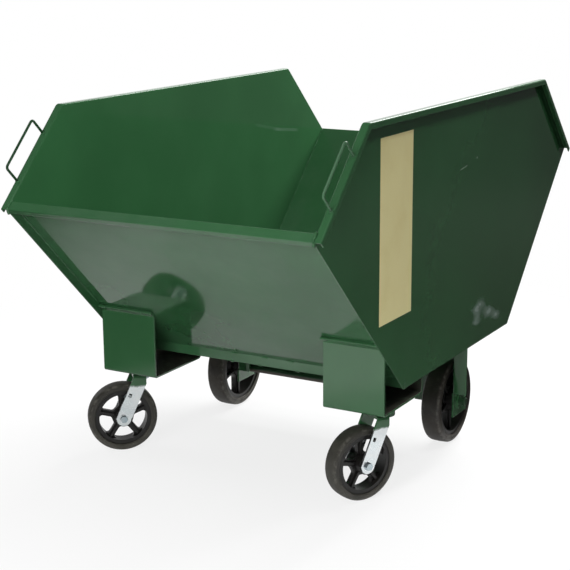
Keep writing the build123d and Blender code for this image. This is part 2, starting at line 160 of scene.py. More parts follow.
def make_sheet_waves():
    """Height of rolled sheet: long shallow waves under a sprayed film with fine orange peel."""
    inputs = {"Wave height": 0.001, "Wave scale": 3.0, "Peel height": 0.00001, "Peel scale": 350.0}
    group, given, result = new_group("Sheet waves", inputs, "Height")
    place = object_place(group)
    waves = product(group, noise(group, place, given["Wave scale"], detail=1.0), given["Wave height"])
    peel = product(group, noise(group, place, given["Peel scale"], detail=1.0), given["Peel height"])
    group.links.new(maths(group, "ADD", waves, peel), result)
    return group


def make_dust():
    """Mask of settled dust: cloudy, stronger on faces that look up and near the floor."""
    inputs = {"Amount": 0.3, "Scale": 9.0, "Floor height": 0.25}
    group, given, result = new_group("Dust", inputs, "Dust")
    place = object_place(group)
    clouds = ranged(group, noise(group, place, given["Scale"], detail=6.0, roughness=0.62), 0.38, 0.72)
    facing = add_node(group, "ShaderNodeNewGeometry").outputs["Normal"]
    upward = ranged(group, along_axis(group, facing, "Z"), -0.2, 1.0, to_low=0.35)
    height = maths(group, "DIVIDE", along_axis(group, place, "Z"), given["Floor height"])
    low = ranged(group, height, 1.6, 0.0, to_low=0.25)
    mask = product(group, clouds, upward, low)
    group.links.new(maths(group, "MULTIPLY", mask, given["Amount"], clamp=True), result)
    return group


edge_wear = make_edge_wear()
sheet_waves = make_sheet_waves()
dust = make_dust()


def place_group(tree, group, values):
    """Puts a node group in a material with its own values; returns its result."""
    made = add_node(tree, "ShaderNodeGroup", {"node_tree": group}, values)
    return made.outputs[0]


def new_material(name):
    """A material with an empty Principled shader; returns it with its tree and shader."""
    made = bpy.data.materials.new(name)
    made.use_nodes = True
    shader = made.node_tree.nodes["Principled BSDF"]
    return made, made.node_tree, shader


enamel_deep = (0.026, 0.094, 0.036, 1.0)
enamel_thin = (0.11, 0.22, 0.13, 1.0)


def enamel_dust(tree):
    """The dust on sprayed enamel."""
    return place_group(tree, dust, {"Amount": 0.22, "Scale": 7.0, "Floor height": 0.4})


def enamel_film(tree, place, dusty, deep):
    """Colour of sprayed enamel: cloudy film, pale edges, a little dust."""
    dust_colour = (0.30, 0.31, 0.27, 1.0)
    dust_share = 0.25
    cloud_lift = 1.18
    lighter = tuple(channel * cloud_lift for channel in deep[:3]) + (1.0,)
    clouds = ranged(tree, noise(tree, place, scale=2.6, detail=4.0), 0.35, 0.70)
    wear = place_group(tree, edge_wear, {"Radius": 0.0025, "Breakup": 55.0, "Amount": 0.55})
    film = mixed_colour(tree, clouds, deep, lighter)
    film = mixed_colour(tree, wear, film, enamel_thin)
    return mixed_colour(tree, product(tree, dusty, dust_share), film, dust_colour)


def enamel_gloss(tree, place, dusty):
    """Roughness of sprayed enamel: smudged, and duller under dust."""
    dust_share = 0.4
    smudges = noise(tree, place, scale=11.0, detail=5.0, roughness=0.6)
    smudges = ranged(tree, smudges, 0.40, 0.75, to_low=0.045, to_high=0.095)
    return maths(tree, "ADD", smudges, product(tree, dusty, dust_share), clamp=True)


def soft_bump(tree, height, edge_radius):
    """A normal that follows a height and rounds the sharp edges of the solid."""
    inputs = {"Distance": 1.0, "Height": height, "Normal": rounded_normal(tree, edge_radius)}
    return add_node(tree, "ShaderNodeBump", {}, inputs).outputs["Normal"]


def make_enamel(name, deep, wave_height, wave_scale):
    """Glossy sprayed enamel over sheet steel."""
    made, tree, shader = new_material(name)
    place = object_place(tree)
    dusty = enamel_dust(tree)
    tree.links.new(enamel_film(tree, place, dusty, deep), shader.inputs["Base Color"])
    tree.links.new(enamel_gloss(tree, place, dusty), shader.inputs["Roughness"])
    shader.inputs["IOR"].default_value = 1.5
    waves = {"Wave height": wave_height, "Wave scale": wave_scale}
    peel = {"Peel height": 0.000012, "Peel scale": 420.0}
    height = place_group(tree, sheet_waves, {**waves, **peel})
    tree.links.new(soft_bump(tree, height, edge_radius=0.0016), shader.inputs["Normal"])
    return made


def finish_node(name, material):
    """Gives a CAD node its finished material."""
    for slot in nodes[name].material_slots:
        slot.material = material


def painted_over(made, mask, colour, gloss):
    """Lays another colour and roughness over a material where a mask says so."""
    tree = made.node_tree
    shader = tree.nodes["Principled BSDF"]
    under = {name: shader.inputs[name].links[0].from_socket for name in ("Base Color", "Roughness")}
    tree.links.new(mixed_colour(tree, mask, under["Base Color"], colour), shader.inputs["Base Color"])
    glosses = {0: mask, 2: under["Roughness"], 3: gloss}
    mixed_gloss = add_node(tree, "ShaderNodeMix", {"data_type": "FLOAT"}, glosses).outputs[0]
    tree.links.new(mixed_gloss, shader.inputs["Roughness"])


def mark_along(tree, place, start, end, width):
    """Mask of a straight mark between two points of a panel, given as y and z."""
    start = Vector((0.0, *start))
    run = Vector((0.0, *end)) - start
    along = run.normalized()
    across = Vector((0.0, -along.z, along.y))
    middle = start + run / 2
    reach = []
    for direction in (along, across):
        distance = vector_maths(tree, "DOT_PRODUCT", place, direction)
        offset = maths(tree, "SUBTRACT", distance, middle.dot(direction))
        reach.append(maths(tree, "ABSOLUTE", offset))
    lengthwise = ranged(tree, reach[0], run.length * 0.5, run.length * 0.3)
    crosswise = ranged(tree, reach[1], width * 0.5, width * 0.15)
    return product(tree, lengthwise, crosswise)


panel_enamel = make_enamel("green enamel on panels", enamel_deep, wave_height=0.0016, wave_scale=2.0)
panel_tree = panel_enamel.node_tree
panel_place = object_place(panel_tree)
right_outside_x = (0.4490, 0.4496)
left_inside_x = (-0.4490, -0.4482)
left_half_x = (0.0, -0.2)
panel_side = along_axis(panel_tree, panel_place, "X")
on_right_outside = ranged(panel_tree, panel_side, *right_outside_x)
on_inside = ranged(panel_tree, panel_side, *left_inside_x)
on_left_inside = product(panel_tree, on_inside, ranged(panel_tree, panel_side, *left_half_x))

scratch_colour = (0.34, 0.40, 0.35, 1.0)
scratch_share = 0.75
scratch_marks = (((-0.020, 0.839), (0.037, 0.846), 0.0030), ((0.100, 0.856), (0.108, 0.861), 0.0045))
scratches = 0.0
for start, end, width in scratch_marks:
    scratch = mark_along(panel_tree, panel_place, start, end, width)
    scratches = maths(panel_tree, "MAXIMUM", scratches, scratch)
scratches = product(panel_tree, scratches, on_right_outside, scratch_share)
painted_over(panel_enamel, scratches, scratch_colour, gloss=0.45)

# Pale cloudy patches low on the rear of the right panel's outside are a painted reflection, stretched along
# the panel.
reflection_colour = (0.31, 0.40, 0.36, 1.0)
reflection_patch_share = 0.75
reflection_patch_x = 0.450
reflection_patch_spots = ((0.142, 0.412, 0.040), (0.127, 0.372, 0.026), (0.225, 0.382, 0.030), (0.290, 0.358, 0.028))
reflection_patch_squeeze = Vector((1.0, 0.45, 1.0))
squeezed = vector_maths(panel_tree, "MULTIPLY", panel_place, reflection_patch_squeeze)
reflection_patches = 0.0
for reflection_patch_y, reflection_patch_z, reflection_patch_radius in reflection_patch_spots:
    reflection_patch_middle = Vector((reflection_patch_x, reflection_patch_y, reflection_patch_z)) * reflection_patch_squeeze
    reach = vector_maths(panel_tree, "DISTANCE", squeezed, reflection_patch_middle)
    spot = ranged(panel_tree, reach, reflection_patch_radius, 0.0, to_high=0.75)
    reflection_patches = maths(panel_tree, "ADD", spot, reflection_patches, clamp=True)
reflection_patch_clouds = noise(panel_tree, squeezed, scale=30.0, detail=5.0, roughness=0.6)
reflection_patch_clouds = ranged(panel_tree, reflection_patch_clouds, 0.30, 0.65, to_high=0.45)
reflection_patches = ranged(panel_tree, maths(panel_tree, "ADD", reflection_patches, reflection_patch_clouds), 0.42, 1.25)
reflection_patches = product(panel_tree, reflection_patches, on_right_outside, reflection_patch_share)
painted_over(panel_enamel, reflection_patches, reflection_colour, gloss=0.40)

# A soft pale streak across the upper rear of the left panel's inside is a painted reflection.
reflection_streak_width = 0.015
reflection_streak_runs = (((0.370, 0.872), (0.570, 0.831), 0.05), ((0.495, 0.8425), (0.685, 0.8185), 0.11))
reflection_streak = 0.0
for start, end, share in reflection_streak_runs:
    reflection_streak_run = mark_along(panel_tree, panel_place, start, end, reflection_streak_width)
    reflection_streak = maths(panel_tree, "ADD", product(panel_tree, reflection_streak_run, share), reflection_streak)
reflection_streak = product(panel_tree, reflection_streak, on_left_inside)
painted_over(panel_enamel, reflection_streak, reflection_colour, gloss=0.30)
for panel in ("end_panel_left", "end_panel_right"):
    finish_node(panel, panel_enamel)

# Front, rear and floor sheets: 3 mm steel bent to shape between the end panels and welded to them.
# The same enamel; the long faces are slightly wavy, so what they mirror bends a little, and a thin
# haze of dust lies on them in clouds.
haze_colour = (0.36, 0.40, 0.39, 1.0)
sheet_enamel = make_enamel("green enamel on sheets", enamel_deep, wave_height=0.0042, wave_scale=3.0)
sheet_tree = sheet_enamel.node_tree
haze = noise(sheet_tree, object_place(sheet_tree), scale=4.5, detail=5.0, roughness=0.6)
painted_over(sheet_enamel, ranged(sheet_tree, haze, 0.40, 0.72, to_high=0.035), haze_colour, gloss=0.9)
for sheet in ("front_sheet", "rear_sheet", "floor_sheet"):
    finish_node(sheet, sheet_enamel)

# Weld seams of the hopper: rippled beads of weld in the inside corners, with short dabs at the rim
# corners and under the foot of the front sheet. Laid by hand, then painted over with the hopper.
panel_inner_x = 0.447
floor_front = (-0.3629, 0.3315)
floor_rear = (0.3810, 0.3315)
rim_front = (-0.8420, 0.8033)
rim_rear = (0.8470, 0.8003)
inside_runs = ((rim_front, floor_front), (floor_front, floor_rear), (floor_rear, rim_rear))
outside_runs = (((-0.8190, 0.7750), (-0.5073, 0.4680)), ((0.8275, 0.7750), (0.4002, 0.3450)))
corner_inset = 0.001
inside_radius = 0.0030
outside_radius = 0.0022
seam_step = 0.0055
dab_radius = 0.0042
dab_step = 0.0042
coarse_ripple = 1
fine_ripple = 2
ripple_sizes = (0.82, 1.15)
ripple_shake = 0.12
ripple_overlap = 0.95
weld_draw = random.Random(11)
weld_enamel = make_enamel("green enamel on welds", enamel_deep, wave_height=0.0, wave_scale=2.0)


def lay_bead(shape, start, end, radius, step, detail):
    """A row of overlapping flattened ripples from one point to another."""
    start = Vector(start)
    run = Vector(end) - start
    turn = run.to_track_quat("X", "Z").to_matrix().to_4x4()
    count = max(1, round(run.length / step))
    ripple_length = step * ripple_overlap
    for number in range(count + 1):
        size = radius * weld_draw.uniform(*ripple_sizes)
        lift = Vector([weld_draw.uniform(-ripple_shake, ripple_shake) * radius for axis in range(3)])
        place = start + run * (number / count) + lift
        ripple = Matrix.Translation(place) @ turn @ Matrix.Diagonal((ripple_length, size, size, 1.0))
        bmesh.ops.create_icosphere(shape, subdivisions=detail, radius=1.0, matrix=ripple)


def finish_piece(name, shape, material, body):
    """Makes a smooth-shaded object of a mesh, with its material, body and finish."""
    data = bpy.data.meshes.new(name)
    shape.to_mesh(data)
    shape.free()
    for face in data.polygons:
        face.use_smooth = True
    data.materials.append(material)
    piece = bpy.data.objects.new(name, data)
    bpy.context.scene.collection.objects.link(piece)
    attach(piece, body)
    return piece


for side_name, side in (("left", -1), ("right", 1)):
    corner_x = side * (panel_inner_x - corner_inset)
    seams = bmesh.new()
    for runs, radius in ((inside_runs, inside_radius), (outside_runs, outside_radius)):
        for start, end in runs:
            lay_bead(seams, (corner_x, *start), (corner_x, *end), radius, seam_step, coarse_ripple)
    finish_piece(f"{side_name}_corner_welds", seams, weld_enamel, "cart")

cross_seams = bmesh.new()
for corner in (floor_front, floor_rear):
    ends = [(side * panel_inner_x, *corner) for side in (-1, 1)]
    lay_bead(cross_seams, *ends, inside_radius, seam_step, coarse_ripple)
finish_piece("floor_welds", cross_seams, weld_enamel, "cart")

rim_x = 0.4475
rim_dabs = (
    ((-0.8645, 0.7965), (-0.8520, 0.8090)),
    ((-0.8660, 0.7900), (-0.8620, 0.7800)),
    ((-0.3640, 0.3060), (-0.3640, 0.3200)),
)
foot_dabs = {"half_length": 0.006, "edge": (-0.3666, 0.3302), "radius": 0.0028}
foot_dabs["middles"] = (-0.30, -0.075, 0.022, 0.105, 0.30)
foot_specks = {"half_length": 0.003, "edge": (-0.3650, 0.3046), "radius": 0.0026}
foot_specks["middles"] = (-0.085, 0.006, 0.125)
dabs = bmesh.new()
for side in (-1, 1):
    for start, end in rim_dabs:
        lay_bead(dabs, (side * rim_x, *start), (side * rim_x, *end), dab_radius, dab_step, fine_ripple)
for row in (foot_dabs, foot_specks):
    for middle_x in row["middles"]:
        ends = [(middle_x + way * row["half_length"], *row["edge"]) for way in (-1, 1)]
        lay_bead(dabs, *ends, row["radius"], dab_step, fine_ripple)
finish_piece("rim_and_foot_welds", dabs, weld_enamel, "cart")

# Lifting handles: 7 mm steel rod, bent to a U and welded to the sloping front rim with a ring of
# weld round each foot. Painted with the hopper's green, made darker on the rods as painted shade; the
# right one is paler, as painted light.
# A darker green for the rods as painted shade, and a paler one for the right handle as painted light.
shaded_rod_green = (0.014, 0.046, 0.019, 1.0)
lit_rod_green = (0.055, 0.128, 0.068, 1.0)
shaded_rod_enamel = make_enamel("shaded green enamel on rods", shaded_rod_green, wave_height=0.0, wave_scale=2.0)
lit_rod_enamel = make_enamel("lit green enamel on the right handle", lit_rod_green, wave_height=0.0, wave_scale=2.0)
handle_x = 0.461
handle_feet = ((-0.80564, 0.85474), (-0.69382, 0.96726))
rim_across = Vector((1.0, 0.0, 0.0))
rim_slope = Vector((0.0, 0.7049, 0.7093))
collar_radius = 0.0042
collar_sides = 8
collar_bead = 0.0024
collar_step = 0.0026
for side_name, side, handle_enamel in (("left", -1, shaded_rod_enamel), ("right", 1, lit_rod_enamel)):
    finish_node(f"handle_{side_name}", handle_enamel)
    collar = bmesh.new()
    for foot in handle_feet:
        middle = Vector((side * handle_x, *foot))
        corners = []
        for number in range(collar_sides + 1):
            angle = number * math.tau / collar_sides
            outward = math.cos(angle) * rim_across + math.sin(angle) * rim_slope
            corners.append(middle + collar_radius * outward)
        for start, end in zip(corners, corners[1:]):
            lay_bead(collar, start, end, collar_bead, collar_step, fine_ripple)
    finish_piece(f"{side_name}_handle_welds", collar, weld_enamel, "cart")

# Label: a plain sheet of coated paper stuck on the right end panel, with nothing printed on it.
# The paper has yellowed unevenly, and pale fibres show in it.
label_cream = (0.91, 0.82, 0.41, 1.0)
label_aged = (0.84, 0.74, 0.34, 1.0)
label_fibre = (0.92, 0.86, 0.52, 1.0)
label_paper, label_tree, label_shader = new_material("cream label paper")
label_place = object_place(label_tree)
label_clouds = ranged(label_tree, noise(label_tree, label_place, scale=9.0, detail=4.0), 0.4, 0.8)
fibres = ranged(label_tree, noise(label_tree, label_place, scale=260.0, detail=3.0), 0.3, 0.8, to_high=0.35)
aged = mixed_colour(label_tree, label_clouds, label_cream, label_aged)
aged = mixed_colour(label_tree, fibres, aged, label_fibre)
label_tree.links.new(aged, label_shader.inputs["Base Color"])
label_gloss = ranged(label_tree, label_clouds, 0.0, 1.0, to_low=0.30, to_high=0.45)
label_tree.links.new(label_gloss, label_shader.inputs["Roughness"])
finish_node("label_blank", label_paper)

# Caster brackets: 6 mm plate, bent so that a lip lies on the front sheet, a face hangs down, a shelf
# runs back and a tail rises to the floor. Sheared edges are slightly rounded. Painted with the hopper,
# but the spray missed the hollow inside, where the mill scale is bare.
bracket_lip_edge = (-0.49795, 0.45185)
lip_beads = ((0.270, 0.290, 0.0044), (0.290, 0.428, 0.0026), (0.428, 0.444, 0.0044))
face_inside_y = -0.4777
tail_inside_y = -0.2498
shelf_top_z = 0.2630
spray_end = 0.0012
sheared_round = 0.0008
scale_dark = (0.026, 0.023, 0.020, 1.0)
scale_light = (0.062, 0.055, 0.047, 1.0)
plate_waves = {"wave_height": 0.0006, "wave_scale": 4.0}
bracket_finish = make_enamel("green enamel on brackets", enamel_deep, **plate_waves)
bracket_tree = bracket_finish.node_tree
bracket_place = object_place(bracket_tree)
bracket_y = along_axis(bracket_tree, bracket_place, "Y")
bracket_z = along_axis(bracket_tree, bracket_place, "Z")
scale_clouds = noise(bracket_tree, bracket_place, scale=35.0, detail=5.0, roughness=0.6)
mill_scale = mixed_colour(bracket_tree, scale_clouds, scale_dark, scale_light)
behind_face = ranged(bracket_tree, bracket_y, face_inside_y - spray_end, face_inside_y)
before_tail = ranged(bracket_tree, bracket_y, tail_inside_y + spray_end, tail_inside_y)
above_shelf = ranged(bracket_tree, bracket_z, shelf_top_z - spray_end, shelf_top_z)
patchy = ranged(bracket_tree, scale_clouds, 0.72, 0.50, to_low=0.55, to_high=0.95)
bare_inside = product(bracket_tree, behind_face, before_tail, above_shelf, patchy)
painted_over(bracket_finish, bare_inside, mill_scale, gloss=0.55)


def softened(node_name, piece_name, material, body, edge_round):
    """A copy of a solid with its sharp edges rounded, in place of the solid."""
    same_point = 0.00002
    flat_angle = math.radians(0.6)
    sharp_angle = math.radians(32.0)
    shape = bmesh.new()
    shape.from_mesh(nodes[node_name].data)
    bmesh.ops.remove_doubles(shape, verts=shape.verts, dist=same_point)
    bmesh.ops.dissolve_limit(
        shape, angle_limit=flat_angle, use_dissolve_boundaries=False, verts=shape.verts, edges=shape.edges,
    )
    piece = finish_piece(piece_name, shape, material, body)
    rounding = piece.modifiers.new("rounded edges", "BEVEL")
    rounding.width = edge_round
    rounding.segments = 2
    rounding.limit_method = "ANGLE"
    rounding.angle_limit = sharp_angle
    rounding.profile = 0.5
    piece.modifiers.new("even shading", "WEIGHTED_NORMAL")
    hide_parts(node_name)


for side_name, side in (("left", -1), ("right", 1)):
    bracket = f"caster_bracket_{side_name}"
    softened(bracket, f"{side_name}_caster_bracket", bracket_finish, "cart", sheared_round)
    lip_welds = bmesh.new()
    for low_x, high_x, bead in lip_beads:
        ends = [(side * place_x, *bracket_lip_edge) for place_x in (low_x, high_x)]
        lay_bead(lip_welds, *ends, bead, dab_step, fine_ripple)
    finish_piece(f"{side_name}_bracket_welds", lip_welds, weld_enamel, "cart")

# Axle legs: angles folded from 5 mm plate, one each side of a rear wheel, their front flange turned
# away from it. Welded under the floor with a bead along the web; painted with the hopper.
leg_webs = {"outer_left": -0.4075, "inner_left": -0.3315, "inner_right": 0.3315, "outer_right": 0.4075}
leg_bead = 0.0030
leg_bead_runs = ((0.0650, 0.0950), (0.1230, 0.1520))
leg_bead_z = 0.3280
plate_enamel = make_enamel("green enamel on plate", enamel_deep, **plate_waves)
for leg, web_x in leg_webs.items():
    softened(f"axle_leg_{leg}", f"leg_{leg}", plate_enamel, "cart", sheared_round)
    leg_weld = bmesh.new()
    for bead_run in leg_bead_runs:
        ends = [(web_x, place_y, leg_bead_z) for place_y in bead_run]
        lay_bead(leg_weld, *ends, leg_bead, dab_step, fine_ripple)
    finish_piece(f"leg_{leg}_weld", leg_weld, weld_enamel, "cart")

# Rear axle: one drawn steel bar through both wheels. Its ends stick out past the legs with a washer
# and a split pin, and were painted with the hopper in the rod green, made darker as painted shade;
# between the wheels the steel is bare and dull below, its very dark colour painted shade, and green
# on top where the spray fell on it, in the same darkened green.
joints = {joint["name"]: joint for joint in frame["record"]["behaviour"]["joints"]}
# The bare steel is coloured very dark as painted shade under the floor.
shaded_steel_dark = (0.040, 0.034, 0.029, 1.0)
shaded_steel_light = (0.075, 0.063, 0.053, 1.0)
painted_from_x = (0.340, 0.352)
painted_from_z = (0.1265, 0.1310)
ragged_end = 0.02
ragged_top = 0.006
axle_finish, axle_tree, axle_shader = new_material("axle steel with painted ends")
axle_place = object_place(axle_tree)
# The film is the rod green, darker as painted shade.
axle_film = enamel_film(axle_tree, axle_place, enamel_dust(axle_tree), shaded_rod_green)
axle_grain = noise(axle_tree, axle_place, scale=60.0, detail=4.0)
shaded_bare_steel = mixed_colour(axle_tree, axle_grain, shaded_steel_dark, shaded_steel_light)
axle_reach = maths(axle_tree, "ABSOLUTE", along_axis(axle_tree, axle_place, "X"))
axle_reach = maths(axle_tree, "ADD", axle_reach, product(axle_tree, axle_grain, ragged_end))
painted_end = ranged(axle_tree, axle_reach, *painted_from_x)
axle_rise = along_axis(axle_tree, axle_place, "Z")
axle_rise = maths(axle_tree, "ADD", axle_rise, product(axle_tree, axle_grain, ragged_top))
painted_top = ranged(axle_tree, axle_rise, *painted_from_z)
painted = maths(axle_tree, "MAXIMUM", painted_end, painted_top)
axle_metal = ranged(axle_tree, painted, 0.0, 1.0, to_low=0.55, to_high=0.0)
axle_gloss = ranged(axle_tree, painted, 0.0, 1.0, to_low=0.58, to_high=0.15)
axle_colour = mixed_colour(axle_tree, painted, shaded_bare_steel, axle_film)
axle_tree.links.new(axle_colour, axle_shader.inputs["Base Color"])
axle_tree.links.new(axle_metal, axle_shader.inputs["Metallic"])
axle_tree.links.new(axle_gloss, axle_shader.inputs["Roughness"])
finish_node("rear_axle", axle_finish)
softened("axle_end_washers", "axle_end_washers_rounded", plate_enamel, "cart", edge_round=0.0004)

# Split pins: each is one round wire, led from a bent tip up through the axle, round the eye and down
# again to the other tip. A step of the path is a straight length, or a radius with its turn.
pin_x = 0.4215
pin_wire = 0.00095
wire_sides = 10
arc_step = 0.26
pin_eye = 0.0030
pin_neck = 0.0015
pin_bend = 0.0016
pin_tip = 0.0060
pin_drop = 0.0134
pin_leg = 0.0268
tip_turn = math.radians(75.0)
neck_turn = math.acos((pin_wire + pin_neck) / (pin_eye + pin_neck))
eye_turn = math.pi + 2.0 * neck_turn
pin_path = (
    (pin_tip, 0.0), (pin_bend, tip_turn), (pin_leg, 0.0), (pin_neck, neck_turn), (pin_eye, -eye_turn),
    (pin_neck, neck_turn), (pin_leg, 0.0), (pin_bend, tip_turn), (pin_tip, 0.0),
)
tip_y = -pin_wire - pin_tip * math.sin(tip_turn) - pin_bend * (1.0 - math.cos(tip_turn))
tip_z = -pin_drop - pin_tip * math.cos(tip_turn) - pin_bend * math.sin(tip_turn)
axle_middle = Vector((0.0, *joints["rear_roll_right"]["pos_m"][1:]))
split_pins = bmesh.new()
for side in (-1, 1):
    place = axle_middle + Vector((side * pin_x, tip_y, tip_z))
    heading = Vector((0.0, math.sin(tip_turn), math.cos(tip_turn)))
    facing = Matrix.Translation(place) @ heading.to_track_quat("Z", "X").to_matrix().to_4x4()
    circle = {"cap_ends": True, "segments": wire_sides, "radius": pin_wire, "matrix": facing}
    wire_end = bmesh.ops.create_circle(split_pins, **circle)["verts"][0].link_faces[:]
    for amount, turn in pin_path:
        if turn:
            inward = Vector((0.0, -heading.z, heading.y)) * math.copysign(amount, turn)
            arc = {"cent": place + inward, "axis": (1.0, 0.0, 0.0), "angle": turn}
            arc["steps"] = round(abs(turn) / arc_step)
            wire_end = bmesh.ops.spin(split_pins, geom=wire_end, **arc)["geom_last"]
            turned = Matrix.Rotation(turn, 3, "X")
            place = place + inward - turned @ inward
            heading = turned @ heading
        else:
            wire_end = bmesh.ops.extrude_face_region(split_pins, geom=wire_end)["geom"]
            moved = [part for part in wire_end if isinstance(part, bmesh.types.BMVert)]
            bmesh.ops.translate(split_pins, verts=moved, vec=heading * amount)
            place = place + heading * amount
        wire_end = [part for part in wire_end if isinstance(part, bmesh.types.BMFace)]
inner_walls = [face for face in split_pins.faces if all(len(edge.link_faces) > 2 for edge in face.edges)]
bmesh.ops.delete(split_pins, geom=inner_walls, context="FACES_ONLY")
bmesh.ops.recalc_face_normals(split_pins, faces=split_pins.faces)
# The pins take the rod green, made darker as painted shade.
split_pin = finish_piece("axle_split_pins", split_pins, shaded_rod_enamel, "cart")
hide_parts("axle_cotter_pins")

# Bearings, sleeves and hub washers: plain dull steel, nearly all of it hidden inside the wheels and
# under the brackets.
steel_dark = (0.26, 0.25, 0.24, 1.0)
steel_light = (0.40, 0.39, 0.37, 1.0)
steel, steel_tree, steel_shader = new_material("dull steel")
steel_grain = noise(steel_tree, object_place(steel_tree), scale=60.0, detail=4.0)
steel_colour = mixed_colour(steel_tree, steel_grain, steel_dark, steel_light)
steel_gloss = ranged(steel_tree, steel_grain, 0.3, 0.7, to_low=0.30, to_high=0.45)
steel_tree.links.new(steel_colour, steel_shader.inputs["Base Color"])
steel_tree.links.new(steel_gloss, steel_shader.inputs["Roughness"])
steel_shader.inputs["Metallic"].default_value = 1.0
finish_node("axle_hub_washers", steel)
for side_name in ("left", "right"):
    for name in ("rear_bearing", "caster_bearing", "caster_swivel_bearing", "caster_axle_sleeve"):
        finish_node(f"{name}_{side_name}", steel)

# Casters: a top plate welded under the bracket with its king pin and nut, a fork of bent plate and an
# axle bolt, all bright zinc plated. Green spray from the hopper reaches down over the top plate and
# the fork's head and stops at a ragged edge, lower on the far side, where the extra green is partly
# painted shade.
plate_zinc = ((0.70, 0.76, 0.78, 1.0), (0.86, 0.89, 0.90, 1.0))
bolt_zinc = ((0.40, 0.48, 0.52, 1.0), (0.58, 0.65, 0.68, 1.0))
fork_spray = 0.1850
bolt_spray = 0.235
spray_fade = 0.0080
spray_and_shade_lean = 0.40
spray_ragged = 0.010
zinc_round = 0.0010
nut_round = 0.0008


def make_zinc(name, zinc, spray_height, spray_from, far_side):
    """Zinc plating, green with overspray above a height that falls towards the far side, where the lower
    green is partly painted shade.
    """
    made, tree, shader = new_material(name)
    place = object_place(tree)
    bloom = ranged(tree, noise(tree, place, scale=28.0, detail=5.0, roughness=0.6), 0.30, 0.70)
    plated = mixed_colour(tree, bloom, *zinc)
    film = enamel_film(tree, place, enamel_dust(tree), enamel_deep)
    ragged = product(tree, noise(tree, place, scale=45.0, detail=4.0), spray_ragged)
    height = maths(tree, "ADD", along_axis(tree, place, "Z"), ragged)
    # The green reaches lower towards the far side, partly as painted shade there.
    lean = vector_maths(tree, "DOT_PRODUCT", vector_maths(tree, "SUBTRACT", place, spray_from), far_side)
    height = maths(tree, "ADD", height, product(tree, lean, spray_and_shade_lean))
    sprayed = ranged(tree, height, spray_height, spray_height + spray_fade)
    tree.links.new(mixed_colour(tree, sprayed, plated, film), shader.inputs["Base Color"])
    tree.links.new(maths(tree, "SUBTRACT", 1.0, sprayed), shader.inputs["Metallic"])
    rough = ranged(tree, bloom, 0.0, 1.0, to_low=0.24, to_high=0.34)
    rough = maths(tree, "SUBTRACT", rough, product(tree, sprayed, 0.14))
    tree.links.new(rough, shader.inputs["Roughness"])
    grain = product(tree, noise(tree, place, scale=900.0, detail=2.0), 0.00001)
    tree.links.new(soft_bump(tree, grain, edge_radius=0.0006), shader.inputs["Normal"])
    return made


for side_name in ("left", "right"):
    body = f"caster_{side_name}"
    pivot = joints[f"caster_swivel_{side_name}"]["pos_m"]
    far_side = -Vector(joints[f"caster_roll_{side_name}"]["axis"])
    fork_zinc = make_zinc(f"{side_name} fork zinc with overspray", plate_zinc, fork_spray, pivot, far_side)
    bolt_finish = make_zinc(f"{side_name} bolt zinc", bolt_zinc, bolt_spray, pivot, far_side)
    top_plate = f"caster_top_plate_{side_name}"
    softened(top_plate, f"{side_name}_caster_plate", plate_enamel, "cart", zinc_round)
    kingpin_nut = f"caster_kingpin_nut_{side_name}"
    softened(kingpin_nut, f"{side_name}_kingpin_nut", bolt_finish, "cart", nut_round)
    finish_node(f"caster_kingpin_{side_name}", bolt_finish)
    softened(f"caster_fork_{side_name}", f"{side_name}_caster_fork", fork_zinc, body, zinc_round)
    for fastener in ("bolt", "nut"):
        axle_fastener = f"caster_axle_{fastener}_{side_name}"
        softened(axle_fastener, f"{side_name}_caster_{fastener}", bolt_finish, body, zinc_round)

# Wheel hubs: five-spoked grey iron castings with a rib along each spoke, painted black. The casting
# skin shows through the paint as a fine grain, and dust from the floor lies on it.
iron_dark = (0.0060, 0.0055, 0.0052, 1.0)
iron_light = (0.0100, 0.0092, 0.0086, 1.0)
iron_dust = (0.13, 0.12, 0.10, 1.0)
skin_height = 0.00018
cast_round = 0.0016
iron, iron_tree, iron_shader = new_material("black cast iron")
iron_place = object_place(iron_tree)
iron_skin = noise(iron_tree, iron_place, scale=380.0, detail=4.0, roughness=0.6)
iron_clouds = ranged(iron_tree, noise(iron_tree, iron_place, scale=30.0, detail=4.0), 0.35, 0.70)
dusty = place_group(iron_tree, dust, {"Amount": 0.5, "Scale": 24.0, "Floor height": 0.3})
iron_film = mixed_colour(iron_tree, iron_clouds, iron_dark, iron_light)
iron_film = mixed_colour(iron_tree, product(iron_tree, dusty, 0.12), iron_film, iron_dust)
iron_gloss = ranged(iron_tree, iron_skin, 0.3, 0.7, to_low=0.34, to_high=0.50)
iron_bump = soft_bump(iron_tree, product(iron_tree, iron_skin, skin_height), edge_radius=0.001)
iron_tree.links.new(iron_film, iron_shader.inputs["Base Color"])
iron_tree.links.new(iron_gloss, iron_shader.inputs["Roughness"])
iron_tree.links.new(iron_bump, iron_shader.inputs["Normal"])
for kind in ("caster", "rear"):
    for side_name in ("left", "right"):
        body = f"{kind}_wheel_{side_name}"
        softened(f"{kind}_hub_{side_name}", f"{side_name}_{kind}_hub", iron, body, cast_round)

# Tyres: solid black rubber moulded on the hubs, with a slightly crowned tread, round shoulders, a
# fine raised ring on each side wall and a lip over the rim, and on the rear ones a groove outside the
# ring. Floor dust greys the tread; low on the side walls a pale colour is dust and painted sheen
# together, and the rear tyres' rubber is darker as painted shade.
tread_dust = (0.18, 0.165, 0.14, 1.0)
wall_dust_and_sheen = (0.20, 0.19, 0.165, 1.0)
grit = (0.10, 0.092, 0.078, 1.0)
rubbed_grey = (0.15, 0.145, 0.125, 1.0)
grain_height = 0.00006


